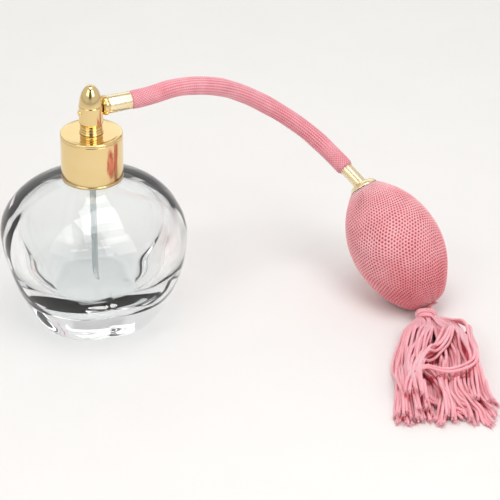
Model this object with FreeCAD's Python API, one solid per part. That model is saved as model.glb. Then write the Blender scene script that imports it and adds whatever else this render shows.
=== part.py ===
"""Bulb-atomiser perfume bottle, all sizes in mm.

+Z is up. The origin is the centre of the bottle's flat base, on the table.
The side arm, hose, squeeze bulb and tassel reach out towards +X.
Each solid is one real piece and is written to its own STEP file.
"""
import FreeCAD
import Part
import math
import os

V = FreeCAD.Vector
UP = V(0, 0, 1)
os.makedirs("parts", exist_ok=True)

# ---- driving dimensions -------------------------------------------------

# glass bottle: height of each level, radius over the lobes, groove depth there
BOTTLE_LEVELS = [
    (0.0, 23.6, 0.100),
    (1.6, 25.4, 0.100),
    (6.0, 28.7, 0.098),
    (12.0, 31.8, 0.090),
    (19.0, 34.9, 0.078),
    (27.0, 37.4, 0.060),
    (35.0, 38.5, 0.042),
    (42.0, 38.2, 0.030),
    (49.0, 35.0, 0.022),
    (55.0, 29.4, 0.016),
    (60.0, 21.0, 0.008),
    (63.5, 12.2, 0.000),
]
# the hollow inside it, in the same form
CAVITY_LEVELS = [
    (12.5, 14.6, 0.130),
    (13.6, 18.8, 0.115),
    (16.5, 23.2, 0.095),
    (22.0, 27.4, 0.070),
    (29.0, 30.6, 0.045),
    (36.0, 31.9, 0.030),
    (43.0, 31.4, 0.020),
    (49.0, 28.6, 0.015),
    (54.5, 23.0, 0.010),
    (58.8, 15.4, 0.005),
    (61.5, 9.6, 0.000),
    (62.6, 7.7, 0.000),
]
LOBES = 4
LOBE_ANGLE = 62.0          # direction of one lobe's middle, degrees from +X
NECK_R = 9.0
NECK_BORE_R = 7.4
NECK_TOP = 79.0
THREAD_CREST_R = 9.9
THREAD_PITCH = 3.0
THREAD_START = 69.6
THREAD_TURNS = 1.25

# screw collar
COLLAR_R = 12.5
COLLAR_BOTTOM = 64.2
COLLAR_TOP = 84.0
COLLAR_WALL = 0.5
INSERT_BORE_R = 10.15
INSERT_CREST_R = 9.25
WEB_BOTTOM = 81.65

# spray head
FLANGE_R = 8.6
STEM_R = 4.5
STEM_JOURNAL_R = 3.8
STEM_TOP = 88.2
HEAD_R = 4.85
DOME_BASE = 96.0
DOME_TOP = 104.5
CORE_R = 2.36
DIP_R = 1.35
DIP_BORE_R = 0.85
NOZZLE_Z = 93.0
ARM_Z = 94.6
ARM = V(2, 1, 0).normalize()
ARM_RING_R = 4.0
FERRULE_R = 3.65

# hose, from the ferrule to the bulb's stem
HOSE_ROUTE = [
    (15.0, 7.5, 94.6),
    (22.0, 11.0, 94.6),
    (32.5, 18.5, 95.6),
    (45.0, 27.2, 92.4),
    (54.5, 38.6, 85.4),
    (66.0, 47.8, 76.0),
    (80.0, 50.8, 66.0),
    (93.0, 47.8, 56.8),
    (103.5, 39.9, 48.8),
]
HOSE_R = 3.75
BRAID_INNER_R = 2.82
TUBE_R = 2.8
TUBE_BORE_R = 1.6
STEM_IN_HOSE = 7.0
NIPPLE_IN_HOSE = 4.2

# squeeze bulb
STEM_GAP = 11.8            # hose end to the rim of the cup
TUBE_STEM_R = 2.8
STEM_BORE_R = 1.7
BULB_AZIMUTH = -48.5
BULB_DIP = 42.0            # the bulb's axis points this far below level
BULB_HALF = 28.0
BULB_R = 19.4
BULB_ARC_R = 36.75
NET_THICK = 0.8
RUBBER_WALL = 1.6
CUP_R = 6.1
BALL_R = 1.25
SEAT_HOLE_R = 0.7
BALL_TRAVEL = 0.8

# tassel
KNOT_SIZE = (4.3, 2.4, 2.5)   # half sizes along X, Y and Z
KNOT_CENTRE = V(137.6, -3.4, 3.5)
TASSEL_SECTIONS = [            # Y, middle X, half width, half height
    (-5.9, 137.6, 3.6, 2.1),
    (-16.0, 139.5, 10.5, 3.6),
    (-34.0, 139.0, 14.5, 3.6),
    (-54.0, 140.5, 16.5, 2.9),
    (-76.0, 142.0, 18.5, 2.0),
]
TASSEL_BASE_Z = 0.3


# ---- helpers ------------------------------------------------------------

def save(name, shape):
    """Check that the piece is one valid solid, then write it."""
    solids = shape.Solids
    if len(solids) != 1:
        print("WARNING", name, "has", len(solids), "solids")
    if not shape.isValid():
        print("WARNING", name, "is not valid")
    box = shape.BoundBox
    print("%-14s %9.1f mm3  x %.1f..%.1f  y %.1f..%.1f  z %.1f..%.1f" % (
        name, shape.Volume, box.XMin, box.XMax, box.YMin, box.YMax, box.ZMin, box.ZMax))
    solids[0].exportStep("parts/%s.step" % name)
    return solids[0]


def ring(r_out, r_in, z0, z1):
    """A plain round sleeve about Z."""
    solid = Part.makeCylinder(r_out, z1 - z0, V(0, 0, z0))
    if r_in > 0:
        solid = solid.cut(Part.makeCylinder(r_in, z1 - z0 + 2, V(0, 0, z0 - 1)))
    return solid


def rod(start, direction, r, length):
    return Part.makeCylinder(r, length, start, direction)


def turned(outline):
    """Solid of revolution about Z from (radius, height) corners."""
    corners = [V(r, 0, z) for r, z in outline]
    face = Part.Face(Part.makePolygon(corners + [corners[0]]))
    return face.revolve(V(0, 0, 0), UP, 360)


def turned_edges(edges):
    """Solid of revolution about Z from edges in the XZ plane, closed along the axis."""
    face = Part.Face(Part.Wire(Part.__sortEdges__(edges)))
    return face.revolve(V(0, 0, 0), UP, 360)


def line(a, b):
    return Part.LineSegment(V(a[0], 0, a[1]), V(b[0], 0, b[1])).toShape()


def arc(a, m, b):
    return Part.Arc(V(a[0], 0, a[1]), V(m[0], 0, m[1]), V(b[0], 0, b[1])).toShape()


def place(shape, origin, direction):
    """Move a shape built about +Z so that its axis follows a direction."""
    moved = shape.copy()
    moved.Placement = FreeCAD.Placement(origin, FreeCAD.Rotation(UP, direction))
    return moved


def thread(root_r, crest_r, foot, tip, start, turns):
    """A right-handed trapezoid thread ridge, wide at root_r and narrow at crest_r."""
    mid_r = 0.5 * (root_r + crest_r)
    helix = Part.makeHelix(THREAD_PITCH, THREAD_PITCH * turns, mid_r)
    corners = [
        V(root_r, 0, -foot / 2),
        V(crest_r, 0, -tip / 2),
        V(crest_r, 0, tip / 2),
        V(root_r, 0, foot / 2),
    ]
    section = Part.makePolygon(corners + [corners[0]])
    ridge = Part.Wire(helix.Edges).makePipeShell([section], True, True)
    ridge.translate(V(0, 0, start))
    return ridge


def hose_path(route, end_trim):
    """Straight runs joined by tangent arcs. Returns the wire, its length and the radii."""
    pts = [V(*p) for p in route]
    runs = [(b - a).Length for a, b in zip(pts, pts[1:])]
    edges = []
    radii = []
    length = 0.0
    at = pts[0]
    for i in range(1, len(pts) - 1):
        before = (pts[i] - pts[i - 1]).normalize()
        after = (pts[i + 1] - pts[i]).normalize()
        half_turn = before.getAngle(after) / 2
        reach = 0.45 * min(runs[i - 1], runs[i])
        radius = reach / math.tan(half_turn)
        first = pts[i] - before * reach
        last = pts[i] + after * reach
        inward = (after - before).normalize()
        middle = pts[i] + inward * (radius / math.cos(half_turn) - radius)
        edges.append(Part.LineSegment(at, first).toShape())
        edges.append(Part.Arc(first, middle, last).toShape())
        length += (first - at).Length + 2 * half_turn * radius
        radii.append(radius)
        at = last
    heading = (pts[-1] - pts[-2]).normalize()
    end = pts[-1] - heading * end_trim
    edges.append(Part.LineSegment(at, end).toShape())
    length += (end - at).Length
    return Part.Wire(edges), length, radii


def tube_along(path, start, heading, r_out, r_in):
    """Sweep a ring section along the path."""
    outer = path.makePipe(Part.Face(Part.Wire(Part.makeCircle(r_out, start, heading))))
    inner = path.makePipe(Part.Face(Part.Wire(Part.makeCircle(r_in, start, heading))))
    return outer.cut(inner)


# ---- glass bottle -------------------------------------------------------

def lobed_section(z, radius, groove):
    """Closed curve with soft lobes and a crease between each two."""
    pts = []
    steps = 72
    for k in range(steps):
        angle = 2 * math.pi * k / steps
        phase = abs(math.cos(LOBES / 2 * (angle - math.radians(LOBE_ANGLE))))
        r = radius * (1 - groove * (1 - phase) ** 1.3)
        pts.append(V(r * math.cos(angle), r * math.sin(angle), z))
    curve = Part.BSplineCurve()
    curve.interpolate(pts, PeriodicFlag=True)
    return Part.Wire(curve.toShape())


def lobed_body(levels):
    return Part.makeLoft([lobed_section(z, r, g) for z, r, g in levels], True, False)


belly = lobed_body(BOTTLE_LEVELS)
neck = ring(NECK_R, 0, 60.0, NECK_TOP)
neck = neck.makeFillet(0.5, [e for e in neck.Edges if abs(e.BoundBox.ZMin - NECK_TOP) < 0.01
                             and abs(e.BoundBox.ZMax - NECK_TOP) < 0.01])
neck_thread = thread(NECK_R - 0.3, THREAD_CREST_R, 1.5, 0.8, THREAD_START, THREAD_TURNS)
cavity = lobed_body(CAVITY_LEVELS).fuse(ring(NECK_BORE_R, 0, 60.0, NECK_TOP + 1))
bottle = belly.fuse(neck).fuse(neck_thread).cut(cavity)
save("glass_bottle", bottle)
print("bottle holds about %.0f ml to the neck" % (cavity.Volume / 1000))

# ---- seal and screw collar ----------------------------------------------

gasket = ring(8.9, 3.4, NECK_TOP + 0.01, 80.18)
save("neck_gasket", gasket)

insert = ring(COLLAR_R - COLLAR_WALL - 0.03, INSERT_BORE_R, 64.9, WEB_BOTTOM)
insert = insert.fuse(ring(COLLAR_R - COLLAR_WALL - 0.03, STEM_JOURNAL_R + 0.06,
                          WEB_BOTTOM, COLLAR_TOP - COLLAR_WALL - 0.02))
inner_thread = thread(INSERT_BORE_R + 0.2, INSERT_CREST_R, 1.3, 0.7,
                      THREAD_START + 1.5, THREAD_TURNS)
insert = insert.fuse(inner_thread)
for k in range(12):
    flute = rod(V(INSERT_BORE_R + 0.45, 0, 76.5), UP, 0.4, WEB_BOTTOM - 76.5)
    flute.rotate(V(0, 0, 0), UP, 30 * k)
    insert = insert.cut(flute)
save("collar_insert", insert)

shell = turned([
    (COLLAR_R - COLLAR_WALL, COLLAR_BOTTOM),
    (COLLAR_R - 0.15, COLLAR_BOTTOM),
    (COLLAR_R + 0.05, COLLAR_BOTTOM + 0.3),
    (COLLAR_R + 0.05, COLLAR_BOTTOM + 0.9),
    (COLLAR_R - 0.12, COLLAR_BOTTOM + 1.15),
    (COLLAR_R, COLLAR_BOTTOM + 1.4),
    (COLLAR_R, COLLAR_TOP - 1.5),
    (COLLAR_R - 0.12, COLLAR_TOP - 1.3),
    (COLLAR_R, COLLAR_TOP - 1.1),
    (COLLAR_R, COLLAR_TOP - 0.6),
    (COLLAR_R - 0.2, COLLAR_TOP - 0.2),
    (COLLAR_R - 0.6, COLLAR_TOP),
    (STEM_JOURNAL_R + 0.1, COLLAR_TOP),
    (STEM_JOURNAL_R + 0.1, COLLAR_TOP - COLLAR_WALL),
    (COLLAR_R - COLLAR_WALL, COLLAR_TOP - COLLAR_WALL),
])
save("collar_shell", shell)

# ---- spray head ---------------------------------------------------------

flange = ring(FLANGE_R, 2.4, 80.22, 81.6).fuse(ring(2.9, 2.4, 81.6, 88.0))
save("head_flange", flange)

head = turned([
    (2.92, 81.62),
    (STEM_JOURNAL_R, 81.62),
    (STEM_JOURNAL_R, COLLAR_TOP + 0.05),
    (STEM_R + 0.25, COLLAR_TOP + 0.05),
    (STEM_R + 0.25, COLLAR_TOP + 0.55),
    (STEM_R, COLLAR_TOP + 0.8),
    (STEM_R, COLLAR_TOP + 1.5),
    (STEM_R - 0.25, COLLAR_TOP + 1.75),
    (STEM_R, COLLAR_TOP + 2.0),
    (STEM_R, COLLAR_TOP + 2.7),
    (STEM_R - 0.25, COLLAR_TOP + 2.95),
    (STEM_R, COLLAR_TOP + 3.2),
    (STEM_R, STEM_TOP),
    (HEAD_R, STEM_TOP + 0.35),
    (HEAD_R, DOME_BASE - 0.4),
    (HEAD_R - 0.2, DOME_BASE - 0.02),
    (3.2, DOME_BASE - 0.02),
    (3.2, DOME_BASE + 1.9),
    (0, DOME_BASE + 1.9),
    (0, 95.2),
    (2.4, 95.2),
    (2.4, 88.05),
    (2.92, 88.05),
])
head = head.cut(rod(V(0, 0, ARM_Z), ARM, 1.3, 8))
head = head.cut(rod(V(0, 0, NOZZLE_Z), ARM * -1, 1.22, 8))
save("head_body", head)

dome = turned_edges([
    line((3.23, DOME_BASE), (HEAD_R - 0.1, DOME_BASE)),
    line((HEAD_R - 0.1, DOME_BASE), (HEAD_R - 0.1, DOME_BASE + 0.5)),
    arc((HEAD_R - 0.1, DOME_BASE + 0.5), (3.65, 101.0), (1.15, DOME_TOP - 0.45)),
    arc((1.15, DOME_TOP - 0.45), (0.8, DOME_TOP - 0.12), (0.3, DOME_TOP)),
    line((0.3, DOME_TOP), (0, DOME_TOP)),
    line((0, DOME_TOP), (0, DOME_BASE + 2.0)),
    line((0, DOME_BASE + 2.0), (3.23, DOME_BASE + 2.0)),
    line((3.23, DOME_BASE + 2.0), (3.23, DOME_BASE)),
])
save("head_dome", dome)

core = ring(CORE_R, 0, 80.4, 95.0)
core = core.cut(rod(V(0, 0, 80), UP, DIP_R + 0.03, 6.0))
core = core.cut(rod(V(0, 0, 85), UP, 0.45, NOZZLE_Z - 85 + 0.4))
core = core.cut(rod(V(0, 0, NOZZLE_Z), ARM * -1, 0.45, 4))
air_slot = Part.makeBox(1.5, 1.3, 16, V(CORE_R - 0.55, -0.65, 79.8))
air_slot.rotate(V(0, 0, 0), UP, math.degrees(math.atan2(ARM.y, ARM.x)))
core = core.cut(air_slot)
core = core.cut(ring(3.0, CORE_R - 0.45, 94.1, 94.8))
jet_slot = Part.makeBox(0.5, 1.0, 1.4, V(-CORE_R - 0.05, -0.5, 93.3))
jet_slot.rotate(V(0, 0, 0), UP, math.degrees(math.atan2(ARM.y, ARM.x)))
core = core.cut(jet_slot)
save("spray_core", core)

jet = turned([(0.25, 3.0), (1.2, 3.0), (1.2, 5.0), (0.95, 5.35), (0.7, 5.35), (0.25, 4.6)])
save("nozzle_jet", place(jet, V(0, 0, NOZZLE_Z), ARM * -1))

dip = ring(DIP_R, DIP_BORE_R, 14.6, 85.9)
tip_cut = Part.makeBox(8, 8, 4, V(-4, -4, -4))
tip_cut.rotate(V(0, 0, 0), V(0, 1, 0), 35)
tip_cut.translate(V(0, 0, 15.6))
save("dip_tube", dip.cut(tip_cut))

# ---- side arm -----------------------------------------------------------

arm_root = V(0, 0, ARM_Z)
saddle = ring(HEAD_R + 0.17, 0, 80, 110)
arm_ring = turned([(1.62, 3.6), (ARM_RING_R - 0.3, 3.6), (ARM_RING_R, 4.0), (ARM_RING_R, 6.4),
                   (ARM_RING_R - 0.35, 6.8), (1.62, 6.8)])
arm_ring = place(arm_ring, arm_root, ARM).cut(saddle)
save("arm_ring", arm_ring)

P0 = V(*HOSE_ROUTE[0])
reach = (P0 - arm_root).Length
barb = reach + 0.6
nipple = turned([
    (0.75, 2.6),
    (1.28, 2.6),
    (1.28, 4.9),
    (1.58, 5.1),
    (1.58, barb),
    (1.75, barb + 0.1),
    (1.58, barb + 1.6),
    (1.75, barb + 1.7),
    (1.45, reach + NIPPLE_IN_HOSE),
    (0.75, reach + NIPPLE_IN_HOSE),
])
save("hose_nipple", place(nipple, arm_root, ARM))

ferrule = turned([
    (1.62, 6.85),
    (FERRULE_R - 0.25, 6.85),
    (FERRULE_R, 7.1),
    (FERRULE_R, reach - 1.6),
    (FERRULE_R - 0.15, reach - 1.4),
    (FERRULE_R, reach - 1.2),
    (FERRULE_R, reach - 0.3),
    (FERRULE_R - 0.2, reach - 0.02),
    (1.62, reach - 0.02),
])
save("hose_ferrule", place(ferrule, arm_root, ARM))

# ---- hose ---------------------------------------------------------------

braid_path, braid_length, arc_radii = hose_path(HOSE_ROUTE, 0)
tube_path, tube_length, same_radii = hose_path(HOSE_ROUTE, STEM_IN_HOSE + 0.02)
braid = tube_along(braid_path, P0, ARM, HOSE_R, BRAID_INNER_R)
hose_tube = tube_along(tube_path, P0, ARM, TUBE_R, TUBE_BORE_R)
save("hose_braid", braid)
save("hose_tube", hose_tube)
for name, solid, length, r_out, r_in in [
        ("hose_braid", braid, braid_length, HOSE_R, BRAID_INNER_R),
        ("hose_tube", hose_tube, tube_length, TUBE_R, TUBE_BORE_R)]:
    expected = math.pi * (r_out ** 2 - r_in ** 2) * length
    print("%s length %.1f, volume / (section x length) = %.4f" % (
        name, length, solid.Volume / expected))
print("hose arc radii", ", ".join("%.1f" % r for r in arc_radii))

# ---- bulb stem and outlet valve -----------------------------------------

hose_end = V(*HOSE_ROUTE[-1])
stem_dir = (hose_end - V(*HOSE_ROUTE[-2])).normalize()
stem_start = hose_end - stem_dir * STEM_IN_HOSE
rim = hose_end + stem_dir * STEM_GAP
rim_at = STEM_IN_HOSE + STEM_GAP
stem_length = rim_at + 9.0

bulb_stem = turned([
    (STEM_BORE_R, 0),
    (TUBE_STEM_R - 0.3, 0),
    (TUBE_STEM_R, 0.5),
    (TUBE_STEM_R, rim_at + 5.7),
    (4.2, rim_at + 5.7),
    (4.2, rim_at + 6.5),
    (TUBE_STEM_R, rim_at + 6.5),
    (TUBE_STEM_R, stem_length),
    (STEM_BORE_R, stem_length),
])
save("bulb_stem", place(bulb_stem, stem_start, stem_dir))

seat_face = rim_at + 7.4
ball_at = seat_face - math.sqrt(BALL_R ** 2 - SEAT_HOLE_R ** 2)
seat = ring(STEM_BORE_R - 0.02, SEAT_HOLE_R, seat_face + 0.01, seat_face + 1.4)
save("outlet_seat", place(seat, stem_start, stem_dir))
ball = Part.makeSphere(BALL_R, V(0, 0, ball_at))
save("outlet_ball", place(ball, stem_start, stem_dir))
cage_end = ball_at - BALL_R - BALL_TRAVEL - 0.05
cage = ring(STEM_BORE_R - 0.02, 0.55, cage_end - 1.2, cage_end)
for k in range(4):
    vent = rod(V(1.15, 0, cage_end - 2), UP, 0.3, 4)
    vent.rotate(V(0, 0, 0), UP, 90 * k)
    cage = cage.cut(vent)
save("outlet_cage", place(cage, stem_start, stem_dir))

# ---- squeeze bulb -------------------------------------------------------

azimuth = math.radians(BULB_AZIMUTH)
dip_angle = math.radians(BULB_DIP)
bulb_dir = V(math.cos(dip_angle) * math.cos(azimuth),
             math.cos(dip_angle) * math.sin(azimuth),
             -math.sin(dip_angle))
bulb_mid = rim + bulb_dir * BULB_HALF
ARC_CENTRE = BULB_ARC_R - BULB_R


def bulb_radius(s, skin):
    """Radius at station s along the bulb, skin mm below the outside."""
    return math.sqrt((BULB_ARC_R - skin) ** 2 - s ** 2) - ARC_CENTRE


def bulb_body(skin, head_s, shoulder_s, tail_s, tail_r):
    """Closed bulb shape, skin mm below the outside, from head_s to tail_s."""
    head_r = bulb_radius(head_s, skin)
    shoulder_r = bulb_radius(shoulder_s, skin)
    bulge = (0.5 * (shoulder_r + tail_r) + 0.55, 0.5 * (shoulder_s + tail_s) + 0.55)
    body = turned_edges([
        line((0, head_s), (head_r, head_s)),
        arc((head_r, head_s), (bulb_radius(0, skin), 0), (shoulder_r, shoulder_s)),
        arc((shoulder_r, shoulder_s), bulge, (tail_r, tail_s)),
        line((tail_r, tail_s), (0, tail_s)),
        line((0, tail_s), (0, head_s)),
    ])
    return place(body, bulb_mid, bulb_dir)


def bulb_rod(s0, s1, r):
    return rod(bulb_mid + bulb_dir * s0, bulb_dir, r, s1 - s0)


def stem_rod(r):
    return rod(rim - stem_dir * 8, stem_dir, r, 24)


net = bulb_body(0, -27.9, 25.0, 28.2, 3.2)
net = net.cut(bulb_body(NET_THICK, -27.1, 24.6, 27.4, 3.0))
net = net.cut(stem_rod(TUBE_STEM_R + 0.25)).cut(bulb_rod(20, 30, 2.65))
save("bulb_net", net)

skin = NET_THICK + 0.04
rubber = bulb_body(skin, -27.06, 24.58, 27.36, 2.98)
rubber = rubber.cut(bulb_body(skin + RUBBER_WALL, -23.5, 21.0, 22.5, 6.5))
rubber = rubber.cut(stem_rod(TUBE_STEM_R + 0.02)).cut(bulb_rod(20, 30, 2.62))
save("bulb_rubber", rubber)

cup = turned_edges([
    line((CUP_R - 0.5, -27.95), (CUP_R, -27.95)),
    line((CUP_R, -27.95), (CUP_R, -28.6)),
    arc((CUP_R, -28.6), (5.0, -29.9), (1.8, -31.0)),
    line((1.8, -31.0), (1.8, -30.5)),
    arc((1.8, -30.5), (4.7, -29.5), (CUP_R - 0.5, -28.4)),
    line((CUP_R - 0.5, -28.4), (CUP_R - 0.5, -27.95)),
])
cup = place(cup, bulb_mid, bulb_dir).cut(stem_rod(TUBE_STEM_R + 0.04))
save("bulb_cup", cup)

# ---- intake valve in the bulb's tail ------------------------------------

intake_seat = 27.2
intake = turned([
    (STEM_BORE_R, 21.5),
    (4.0, 21.5),
    (4.0, 22.4),
    (2.6, 22.4),
    (2.6, 28.2),
    (SEAT_HOLE_R, 28.2),
    (SEAT_HOLE_R, intake_seat),
    (STEM_BORE_R, intake_seat),
])
save("intake_body", place(intake, bulb_mid, bulb_dir))
intake_ball_at = intake_seat - math.sqrt(BALL_R ** 2 - SEAT_HOLE_R ** 2) - 0.01
intake_ball = Part.makeSphere(BALL_R, V(0, 0, intake_ball_at))
save("intake_ball", place(intake_ball, bulb_mid, bulb_dir))
cage_end = intake_ball_at - BALL_R - BALL_TRAVEL - 0.05
intake_cage = ring(STEM_BORE_R - 0.02, 0.55, cage_end - 1.2, cage_end)
for k in range(4):
    vent = rod(V(1.15, 0, cage_end - 2), UP, 0.3, 4)
    vent.rotate(V(0, 0, 0), UP, 90 * k)
    intake_cage = intake_cage.cut(vent)
save("intake_cage", place(intake_cage, bulb_mid, bulb_dir))

# ---- tassel -------------------------------------------------------------

tail = bulb_mid + bulb_dir * 28.2
cord_start = tail + bulb_dir * 0.95
cord_end = KNOT_CENTRE + V(0, KNOT_SIZE[1] - 0.25, 0.6)
cord_run = cord_end - cord_start
tie = rod(cord_start, cord_run, 0.8, cord_run.Length)
tie = tie.fuse(Part.makeSphere(0.8, cord_start))

knot = Part.makeSphere(1.0)
squash = FreeCAD.Matrix()
squash.scale(KNOT_SIZE[0] * 1.12, KNOT_SIZE[1] * 1.45, KNOT_SIZE[2] * 1.12)
knot = knot.transformGeometry(squash)
knot = knot.common(Part.makeBox(20, 2 * KNOT_SIZE[1], 20, V(-10, -KNOT_SIZE[1], -10)))
knot.translate(KNOT_CENTRE)
save("tassel_knot", knot)
save("tassel_cord", tie.cut(knot))

strand_sections = []
for y, x, half_width, half_height in TASSEL_SECTIONS:
    oval = Part.Ellipse(V(x, y, TASSEL_BASE_Z + half_height), half_width, half_height)
    if y == TASSEL_SECTIONS[0][0]:
        oval = Part.Ellipse(V(x, y, KNOT_CENTRE.z), half_width, half_height)
    loop = oval.toShape()
    loop.rotate(oval.Center, V(1, 0, 0), 90)
    strand_sections.append(Part.Wire(loop))
save("tassel_skirt", Part.makeLoft(strand_sections, True, False))

# ---- figures for the record ---------------------------------------------

for label, point in [("rim", rim), ("bulb middle", bulb_mid), ("bulb tail", tail),
                     ("stem start", stem_start), ("cord start", cord_start)]:
    print("%-12s %.3f %.3f %.3f" % (label, point.x, point.y, point.z))
print("stem direction %.5f %.5f %.5f" % tuple(stem_dir))
print("bulb direction %.5f %.5f %.5f" % tuple(bulb_dir))
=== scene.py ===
"""Perfume bottle with a bulb atomiser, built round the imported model.

The frame's axes: +Z up, origin under the middle of the bottle, -Y towards the viewer, and the hose,
bulb and tassel towards +X. Sizes are millimetres, apart from the hose's route and length, which are
in metres. Angles are radians, apart from the named ones, which are degrees.
"""

import math

import bmesh
import bpy
import numpy as np
from mathutils import Matrix, Vector


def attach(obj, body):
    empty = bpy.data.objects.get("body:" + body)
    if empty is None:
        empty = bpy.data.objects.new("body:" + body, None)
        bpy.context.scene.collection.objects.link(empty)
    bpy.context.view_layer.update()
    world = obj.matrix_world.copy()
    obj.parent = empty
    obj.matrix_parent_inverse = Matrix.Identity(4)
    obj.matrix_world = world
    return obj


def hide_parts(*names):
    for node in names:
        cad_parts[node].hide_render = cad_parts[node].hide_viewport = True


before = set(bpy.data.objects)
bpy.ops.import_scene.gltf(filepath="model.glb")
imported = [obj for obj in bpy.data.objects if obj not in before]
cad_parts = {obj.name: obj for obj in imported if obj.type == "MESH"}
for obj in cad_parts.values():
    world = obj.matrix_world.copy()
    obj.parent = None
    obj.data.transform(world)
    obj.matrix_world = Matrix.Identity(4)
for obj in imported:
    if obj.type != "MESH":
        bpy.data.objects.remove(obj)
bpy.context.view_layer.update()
MM = 0.001
RNG = np.random.default_rng(11)

# ---- sizes ----

CAMERA_AT = (0.0639, -0.7070, 0.4475)
CAMERA_DOWN = 30.5
CAMERA_ROLL = 1.2

# the hose's route from the ferrule to the bulb's stem, in metres
HOSE_ROUTE = [
    (0.0150, 0.0075, 0.0946),
    (0.0220, 0.0110, 0.0946),
    (0.0325, 0.0185, 0.0956),
    (0.0450, 0.0272, 0.0924),
    (0.0545, 0.0386, 0.0854),
    (0.0660, 0.0478, 0.0760),
    (0.0800, 0.0508, 0.0660),
    (0.0930, 0.0478, 0.0568),
    (0.1035, 0.0399, 0.0488),
]
HOSE_R = 3.75
TUBE_R = 2.8
TUBE_BORE_R = 1.6

BRAID_RIBS = 20
BRAID_TICK = 1.0
BRAID_STEP = 0.24
BRAID_AROUND = 160
BRAID_RISE = 0.27
BRAID_LAY = 44.0
SLEEVE_FRAYS = 52

# glass: height of each level, radius over the lobes, groove depth there
BOTTLE_LEVELS = [
    (1.6, 25.4, 0.1), (6.0, 28.7, 0.098), (12.0, 31.8, 0.09), (19.0, 34.9, 0.078),
    (27.0, 37.4, 0.06), (35.0, 38.5, 0.042), (42.0, 38.2, 0.03), (49.0, 35.0, 0.022),
    (55.0, 29.4, 0.016), (60.0, 21.0, 0.008), (63.0, 13.6, 0.0), (64.1, 10.6, 0.0),
    (64.9, 9.4, 0.0), (66.0, 9.0, 0.0),
]
BASE_LEVELS = [
    (0.5, 0.0, 0.0), (0.5, 8.0, 0.02), (0.45, 14.0, 0.05), (0.3, 18.0, 0.08),
    (0.08, 20.6, 0.1), (0.0, 22.2, 0.1), (0.12, 23.3, 0.1), (0.5, 24.1, 0.1),
    (1.0, 24.75, 0.1),
]
CAVITY_LEVELS = [
    (12.7, 0.0, 0.0), (12.7, 6.0, 0.05), (12.6, 11.0, 0.1), (12.6, 14.6, 0.13),
    (13.6, 18.8, 0.115), (16.5, 23.2, 0.095), (22.0, 27.4, 0.07), (29.0, 30.6, 0.045),
    (36.0, 31.9, 0.03), (43.0, 31.4, 0.02), (49.0, 28.6, 0.015), (54.5, 23.0, 0.01),
    (58.8, 15.4, 0.005), (61.5, 9.6, 0.0), (62.8, 7.7, 0.0), (64.2, 7.4, 0.0),
]
LOBES = 4
LOBE_ANGLE = 62.0
NECK_R = 9.0
NECK_BORE_R = 7.4
NECK_TOP = 79.0
THREAD_R = 9.85
THREAD_PITCH = 3.0
THREAD_START = 69.6
THREAD_TURNS = 1.25

# screw collar and spray head
COLLAR_R = 12.5
COLLAR_BOTTOM = 64.2
COLLAR_TOP = 84.0
COLLAR_WALL = 0.5
STEM_R = 4.5
JOURNAL_R = 3.8
STEM_TOP = 88.2
HEAD_R = 4.85
DOME_R = 4.75
DOME_BASE = 96.0
DOME_TOP = 104.5
NOZZLE_Z = 93.0
ARM_Z = 94.6
ARM = Vector((2.0, 1.0, 0.0)).normalized()
FERRULE_R = 3.65
CREASE = 34

# squeeze bulb
STEM_DIR = Vector((0.68254, -0.51353, -0.52003))
BULB_DIR = Vector((0.49242, -0.55658, -0.66913))
BULB_MID = Vector((125.342, 18.256, 23.928))
CUP_RIM = Vector((111.554, 33.840, 42.664))
STEM_TUBE_R = 2.8
BULB_ARC_R = 36.75
BULB_R = 19.4
CUP_R = 6.1
NET_CELLS = 82
NET_ROW = 1.22
NET_DEEP = 0.45
RUBBER_WALL = 1.6
WELD = 0.0005

# tassel
KNOT_MID = (137.6, -3.5, 3.7)
KNOT_HALF = (4.35, 2.85, 3.15)
CORD_START = (139.70, 2.03, 4.42)
STRAND_R = 0.66
STRAND_FRAYS = 9
FAN_STRANDS = 24
KNOT_TURNS = 8


# ---- mesh helpers ----


def along(points):
    """Distance of each point along a line."""
    return np.r_[0, np.cumsum(np.linalg.norm(np.diff(points, axis=0), axis=1))]


def unit(vector):
    return vector / np.linalg.norm(vector)


def spline_through(points, count):
    """A smooth curve through the given points, evenly spaced by their first two coordinates."""
    p = np.array(points, float)
    n = len(p)
    t = along(p[:, :2])
    h = np.diff(t)
    a = np.eye(n)
    b = np.zeros_like(p)
    for i in range(1, n - 1):
        a[i, i - 1 : i + 2] = h[i - 1], 2 * (h[i - 1] + h[i]), h[i]
        b[i] = 6 * ((p[i + 1] - p[i]) / h[i] - (p[i] - p[i - 1]) / h[i - 1])
    m = np.linalg.solve(a, b)
    s = np.linspace(0, t[-1], count)
    k = np.clip(np.searchsorted(t, s, side="right") - 1, 0, n - 2)
    d = h[k][:, None]
    u = (t[k + 1] - s)[:, None]
    v = (s - t[k])[:, None]
    return (
        (m[k] * u**3 + m[k + 1] * v**3) / (6 * d)
        + (p[k] / d - m[k] * d / 6) * u
        + (p[k + 1] / d - m[k + 1] * d / 6) * v
    )


def spline_3d(points, count):
    """A smooth line through points in space."""
    t = along(points)
    return spline_through(np.c_[t, np.zeros(len(t)), points], count)[:, 2:]


def resample(points, step):
    s = along(points)
    at = np.linspace(0, s[-1], max(int(round(s[-1] / step)), 2) + 1)
    return np.stack([np.interp(at, s, points[:, k]) for k in range(3)], 1)


def frames(points):
    """Tangents and two cross directions along a line, with no sudden turns."""
    tangent = np.gradient(points, axis=0)
    tangent /= np.linalg.norm(tangent, axis=1)[:, None]
    away = (0, 0, 1.0) if abs(tangent[0][2]) < 0.9 else (1.0, 0, 0)
    side = np.cross(tangent[0], away)
    sides = []
    for t in tangent:
        side = unit(side - t * (side @ t))
        sides.append(side)
    sides = np.array(sides)
    return tangent, sides, np.cross(tangent, sides)


def full_turn(count):
    """Angles that go once round."""
    return np.linspace(0, 2 * np.pi, count, endpoint=False)


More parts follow.
